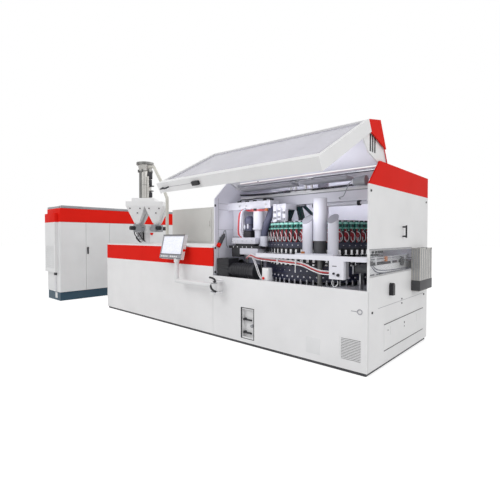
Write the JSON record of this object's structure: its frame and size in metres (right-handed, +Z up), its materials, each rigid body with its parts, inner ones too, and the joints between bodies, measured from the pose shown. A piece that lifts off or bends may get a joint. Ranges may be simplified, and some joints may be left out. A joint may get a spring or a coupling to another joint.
{
  "type": "cap compression moulding machine",
  "caption": "White and red rotary machine that moulds plastic caps by compression, with an extruder counter, a lifting guard door, an operator panel and an electrical cabinet.",
  "frame": {"origin": "centre of the machine base on the floor", "axes": "+X along the machine towards the moulding end, +Y from the front to the rear, +Z up"},
  "size_m": [8.091, 3.8286, 3.07],
  "materials": {
    "dark_steel": "matt dark paint",
    "white_paint": "satin white powder coat",
    "red_paint": "satin red powder coat",
    "grey_paint": "fine-textured light grey powder coat",
    "bare_steel": "brushed",
    "black_plastic": "matt black",
    "belt_rubber": "dark belt",
    "clear_guard": "clear guard sheet",
    "plinth_paint": "matt dark blue",
    "red_plastic": "gloss red",
    "drum_paint": "satin dark blue",
    "red_hose": "red air hose",
    "teal_plastic": "dark green-teal"
  },
  "bodies": {
    "machine": {"base_bed": "dark_steel", "extruder_covers": "white_paint", "counter_band": "red_paint", "extruder_barrel": "bare_steel", "extruder_drive": "grey_paint", "service_housing": "grey_paint", "moulding_front_cover": "white_paint", "front_inserts": "white_paint", "deck": "grey_paint", "partition": "white_paint", "end_wall": "white_paint", "end_band": "red_paint", "end_fittings": "black_plastic", "rear_wall": "white_paint", "roof": "white_paint", "hinge_shaft": "bare_steel", "front_rail": "white_paint", "extraction_column": "white_paint", "inserter_motor": "black_plastic", "inserter_housing": "white_paint", "carousel_drive": "bare_steel", "conveyor_frame": "bare_steel", "conveyor_belt": "belt_rubber", "window_guard": "clear_guard", "outfeed_box": "grey_paint", "hopper_bins": "white_paint", "dosing_feeders": "black_plastic", "vacuum_loader": "bare_steel", "cabinet_plinth": "plinth_paint", "cabinet_carcass": "grey_paint", "cabinet_fascia": "red_paint", "cooling_unit": "grey_paint", "switchgear": "black_plastic", "feed_hoses": "teal_plastic"},
    "carousel": {"carousel_drums": "drum_paint", "lower_moulds": "bare_steel", "punches": "bare_steel", "unit_hoses": "red_hose", "unit_heads": "teal_plastic"},
    "star": {"extraction_star": "bare_steel"},
    "dose_wheel": {"dose_wheel": "bare_steel"},
    "screw": {"extruder_screw": "bare_steel"},
    "guard_door": {"door_frame": "white_paint", "door_panes": "clear_guard", "door_fascia": "red_paint", "door_end_plates": "white_paint", "door_fittings": "black_plastic"},
    "arm": {"hmi_arm": "grey_paint"},
    "operator_panel": {"hmi_panel": "black_plastic"},
    "roller_front": {"conveyor_roller_front": "bare_steel"},
    "roller_rear": {"conveyor_roller_rear": "bare_steel"},
    "leaf_left": {"cabinet_door_left": "grey_paint"},
    "leaf_right": {"cabinet_door_right": "grey_paint"},
    "leaf_middle": {"cabinet_door_middle": "grey_paint"},
    "leaf_rear": {"cabinet_door_rear": "grey_paint"},
    "swing_handle": {"cabinet_handle": "black_plastic"},
    "switch_knob": {"main_switch": "red_plastic"},
    "upper_lever": {"niche_lever_upper": "black_plastic"},
    "lower_lever": {"niche_lever_lower": "black_plastic"},
    "service_leaf": {"service_door": "grey_paint"}
  },
  "joints": [
    {"name": "carousel_spin", "type": "hinge", "parent": "machine", "child": "carousel", "pos_m": [1.7, 0.025, 0.93], "axis": [0, 0, 1], "continuous": true},
    {"name": "star_spin", "type": "hinge", "parent": "machine", "child": "star", "pos_m": [2.15, -0.81166, 1.262], "axis": [0, 0, 1], "continuous": true},
    {"name": "dose_wheel_spin", "type": "hinge", "parent": "machine", "child": "dose_wheel", "pos_m": [0.82, -0.33291, 1.262], "axis": [0, 0, 1], "continuous": true},
    {"name": "screw_spin", "type": "hinge", "parent": "machine", "child": "screw", "pos_m": [-2.588, -0.395, 1.06], "axis": [1, 0, 0], "continuous": true},
    {"name": "door_lift", "type": "hinge", "parent": "machine", "child": "guard_door", "pos_m": [1.645, -0.504, 2.299], "axis": [1, 0, 0], "range_deg": [0, 61]},
    {"name": "arm_swing", "type": "hinge", "parent": "machine", "child": "arm", "pos_m": [0.615, -1.155, 0.77], "axis": [0, 0, 1], "range_deg": [0, 120]},
    {"name": "panel_turn", "type": "hinge", "parent": "arm", "child": "operator_panel", "pos_m": [-0.265, -1.155, 1.09], "axis": [0, 0, 1], "range_deg": [0, 25]},
    {"name": "roller_front_spin", "type": "hinge", "parent": "machine", "child": "roller_front", "pos_m": [2.71, -0.825, 1.136], "axis": [1, 0, 0], "continuous": true},
    {"name": "roller_rear_spin", "type": "hinge", "parent": "machine", "child": "roller_rear", "pos_m": [2.71, 0.795, 1.136], "axis": [1, 0, 0], "continuous": true},
    {"name": "leaf_left_turn", "type": "hinge", "parent": "machine", "child": "leaf_left", "pos_m": [-4.354, -1.391, 1], "axis": [0, 0, 1], "range_deg": [-110, 0]},
    {"name": "leaf_right_turn", "type": "hinge", "parent": "machine", "child": "leaf_right", "pos_m": [-4.354, -0.197, 1], "axis": [0, 0, 1], "range_deg": [0, 110]},
    {"name": "leaf_middle_turn", "type": "hinge", "parent": "machine", "child": "leaf_middle", "pos_m": [-4.354, 0.803, 1], "axis": [0, 0, 1], "range_deg": [0, 110]},
    {"name": "leaf_rear_turn", "type": "hinge", "parent": "machine", "child": "leaf_rear", "pos_m": [-4.354, 1.803, 1], "axis": [0, 0, 1], "range_deg": [0, 110]},
    {"name": "handle_turn", "type": "hinge", "parent": "leaf_right", "child": "swing_handle", "pos_m": [-4.354, -0.754, 1.22], "axis": [1, 0, 0], "range_deg": [0, 90]},
    {"name": "switch_turn", "type": "hinge", "parent": "leaf_rear", "child": "switch_knob", "pos_m": [-4.354, 1.046, 1.587], "axis": [1, 0, 0], "range_deg": [0, 90]},
    {"name": "upper_lever_turn", "type": "hinge", "parent": "machine", "child": "upper_lever", "pos_m": [1.06, -0.975, 0.35], "axis": [0, 1, 0], "range_deg": [-90, 0]},
    {"name": "lower_lever_turn", "type": "hinge", "parent": "machine", "child": "lower_lever", "pos_m": [1.06, -0.975, 0.17], "axis": [0, 1, 0], "range_deg": [-90, 0]},
    {"name": "service_leaf_turn", "type": "hinge", "parent": "machine", "child": "service_leaf", "pos_m": [-2.662, 0.5967, 1.75], "axis": [0, 0, 1], "range_deg": [-40, 0]}
  ],
  "couplings": [
    {"joint": "star_spin", "follows": "carousel_spin", "ratio": -5.3333},
    {"joint": "dose_wheel_spin", "follows": "carousel_spin", "ratio": -5.3333},
    {"joint": "roller_rear_spin", "follows": "roller_front_spin", "ratio": 1}
  ]
}
